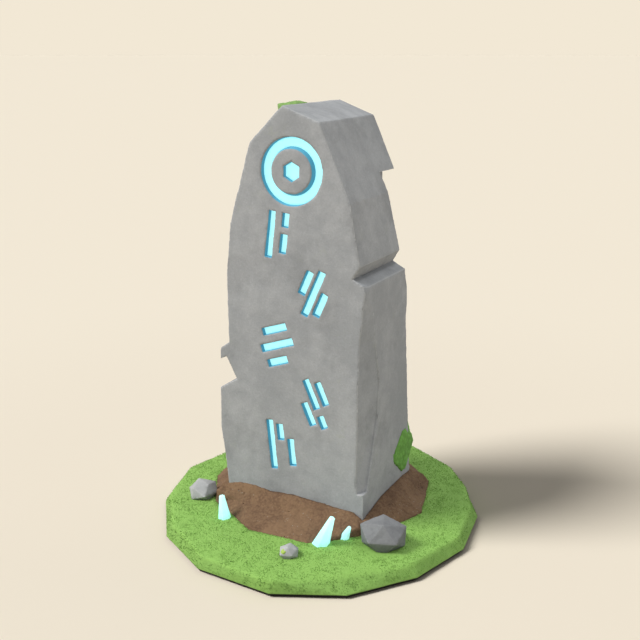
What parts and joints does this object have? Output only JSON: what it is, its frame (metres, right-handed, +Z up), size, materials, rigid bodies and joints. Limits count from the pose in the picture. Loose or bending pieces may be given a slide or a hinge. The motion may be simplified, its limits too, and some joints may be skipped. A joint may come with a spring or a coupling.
{
  "type": "rune stone",
  "caption": "Tall chipped standing stone carved with a glowing ring, hexagon and tally strokes, set in a low round of turf and bare soil with small boulders and glowing crystals.",
  "frame": {"origin": "middle of the underside of the turf", "axes": "+X along the carved face to the reader's right, +Y from the carved face to the back, +Z up"},
  "size_m": [1.722, 1.839, 2.1558],
  "materials": {
    "stone": "matte",
    "glow_glass": "satin",
    "crystal": "gloss",
    "soil": "matte",
    "turf": "matte",
    "moss": "matte",
    "rock": "matte"
  },
  "bodies": {
    "root": {"stone": "stone", "inlay_ring": "glow_glass", "inlay_hexagon": "glow_glass", "inlay_mark1_long": "glow_glass", "inlay_mark1_high": "glow_glass", "inlay_mark1_low": "glow_glass", "inlay_mark2_left": "glow_glass", "inlay_mark2_middle": "glow_glass", "inlay_mark2_right": "glow_glass", "inlay_mark3_top": "glow_glass", "inlay_mark3_middle": "glow_glass", "inlay_mark3_bottom": "glow_glass", "inlay_mark4_left": "glow_glass", "inlay_mark4_high": "glow_glass", "inlay_mark4_low": "glow_glass", "inlay_mark4_right": "glow_glass", "inlay_mark5_long": "glow_glass", "inlay_mark5_high": "glow_glass", "inlay_mark5_low": "glow_glass", "rock_right": "rock", "rock_left": "rock", "rock_small": "rock", "crystal_left": "crystal", "crystal_tall": "crystal", "crystal_short": "crystal", "moss_crown": "moss", "moss_side": "moss", "soil_mound": "soil", "turf": "turf"}
  },
  "joints": []
}
